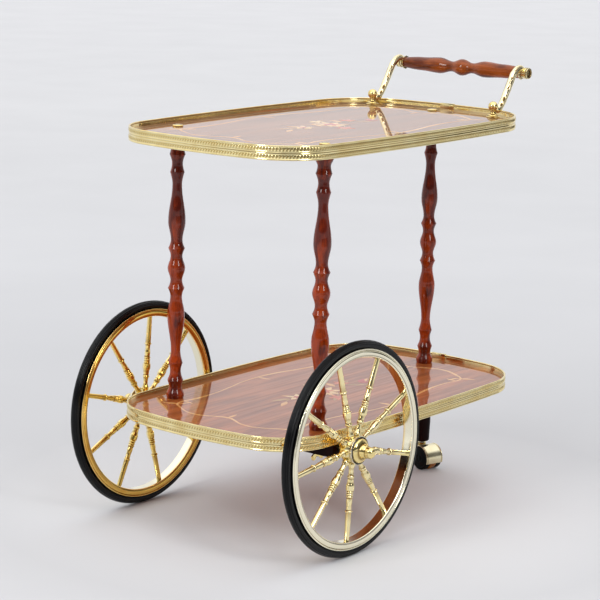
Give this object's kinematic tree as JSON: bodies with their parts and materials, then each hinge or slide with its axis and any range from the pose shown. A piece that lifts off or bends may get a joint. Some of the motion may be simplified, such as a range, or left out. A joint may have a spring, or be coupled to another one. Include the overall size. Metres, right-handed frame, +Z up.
{
  "type": "bar cart",
  "caption": "Two-tier serving trolley with gallery trays on turned posts, large spoked wheels, a swivel caster and a turned push handle.",
  "frame": {"origin": "on the floor, under the middle of the whole cart", "axes": "+X along the cart to the push handle, +Y along the wheel axle to the right-hand wheel of someone pushing, +Z up"},
  "size_m": [0.7429, 0.5, 0.697],
  "materials": {
    "walnut_veneer": "high gloss lacquer over walnut veneer",
    "turned_mahogany": "glossy red-brown lacquer",
    "dark_stained_wood": "near-black satin stain",
    "steel": "zinc plated",
    "tyre_rubber": "semi-gloss black rubber",
    "black_nylon": "matt moulded",
    "amber_nylon": "moulded amber brown",
    "gold_brass": "polished, lacquered",
    "polished_brass": "polished, pale"
  },
  "bodies": {
    "frame": {"upper_board": "walnut_veneer", "upper_marquetry_panel": "walnut_veneer", "upper_gallery": "polished_brass", "upper_gallery_sleeve": "polished_brass", "lower_board": "walnut_veneer", "lower_marquetry_panel": "walnut_veneer", "lower_gallery": "polished_brass", "lower_gallery_sleeve": "polished_brass", "axle_post_left": "turned_mahogany", "axle_post_right": "turned_mahogany", "handle_end_post": "turned_mahogany", "tie_rods": "steel", "tie_rod_cap_nuts": "polished_brass", "tie_rod_wing_nuts": "polished_brass", "axle_block": "dark_stained_wood", "stub_axle_left": "steel", "stub_axle_right": "steel", "axle_spacers": "polished_brass", "axle_cap_nut_left": "polished_brass", "axle_cap_nut_right": "polished_brass", "caster_foot": "dark_stained_wood", "caster_socket": "steel", "handle_flange_left": "polished_brass", "handle_flange_right": "polished_brass", "handle_flange_nuts": "polished_brass", "handle_arm_left": "polished_brass", "handle_arm_right": "polished_brass", "handle_grip": "turned_mahogany", "handle_rod": "steel", "handle_end_caps": "polished_brass"},
    "wheel_left": {"wheel_left_tyre": "tyre_rubber", "wheel_left_rim": "gold_brass", "wheel_left_spokes": "gold_brass", "wheel_left_hub": "polished_brass", "wheel_left_hub_plate": "polished_brass"},
    "wheel_right": {"wheel_right_tyre": "tyre_rubber", "wheel_right_rim": "gold_brass", "wheel_right_spokes": "gold_brass", "wheel_right_hub": "polished_brass", "wheel_right_hub_plate": "polished_brass"},
    "caster": {"caster_stem": "steel", "caster_hood": "polished_brass", "caster_core": "amber_nylon", "caster_pin": "steel"},
    "caster_wheel_left": {"caster_wheel_left": "black_nylon"},
    "caster_wheel_right": {"caster_wheel_right": "black_nylon"}
  },
  "joints": [
    {"name": "wheel_left_spin", "type": "hinge", "parent": "frame", "child": "wheel_left", "pos_m": [-0.2065, -0.21, 0.165], "axis": [0, 1, 0], "continuous": true},
    {"name": "wheel_right_spin", "type": "hinge", "parent": "frame", "child": "wheel_right", "pos_m": [-0.2065, 0.21, 0.165], "axis": [0, 1, 0], "continuous": true},
    {"name": "caster_swivel", "type": "hinge", "parent": "frame", "child": "caster", "pos_m": [0.2725, 0, 0.06], "axis": [0, 0, 1], "continuous": true},
    {"name": "caster_wheel_left_spin", "type": "hinge", "parent": "caster", "child": "caster_wheel_left", "pos_m": [0.27943, -0.01863, 0.02], "axis": [0.9613, -0.2756, 0], "continuous": true},
    {"name": "caster_wheel_right_spin", "type": "hinge", "parent": "caster", "child": "caster_wheel_right", "pos_m": [0.25675, -0.01213, 0.02], "axis": [0.9613, -0.2756, 0], "continuous": true}
  ]
}
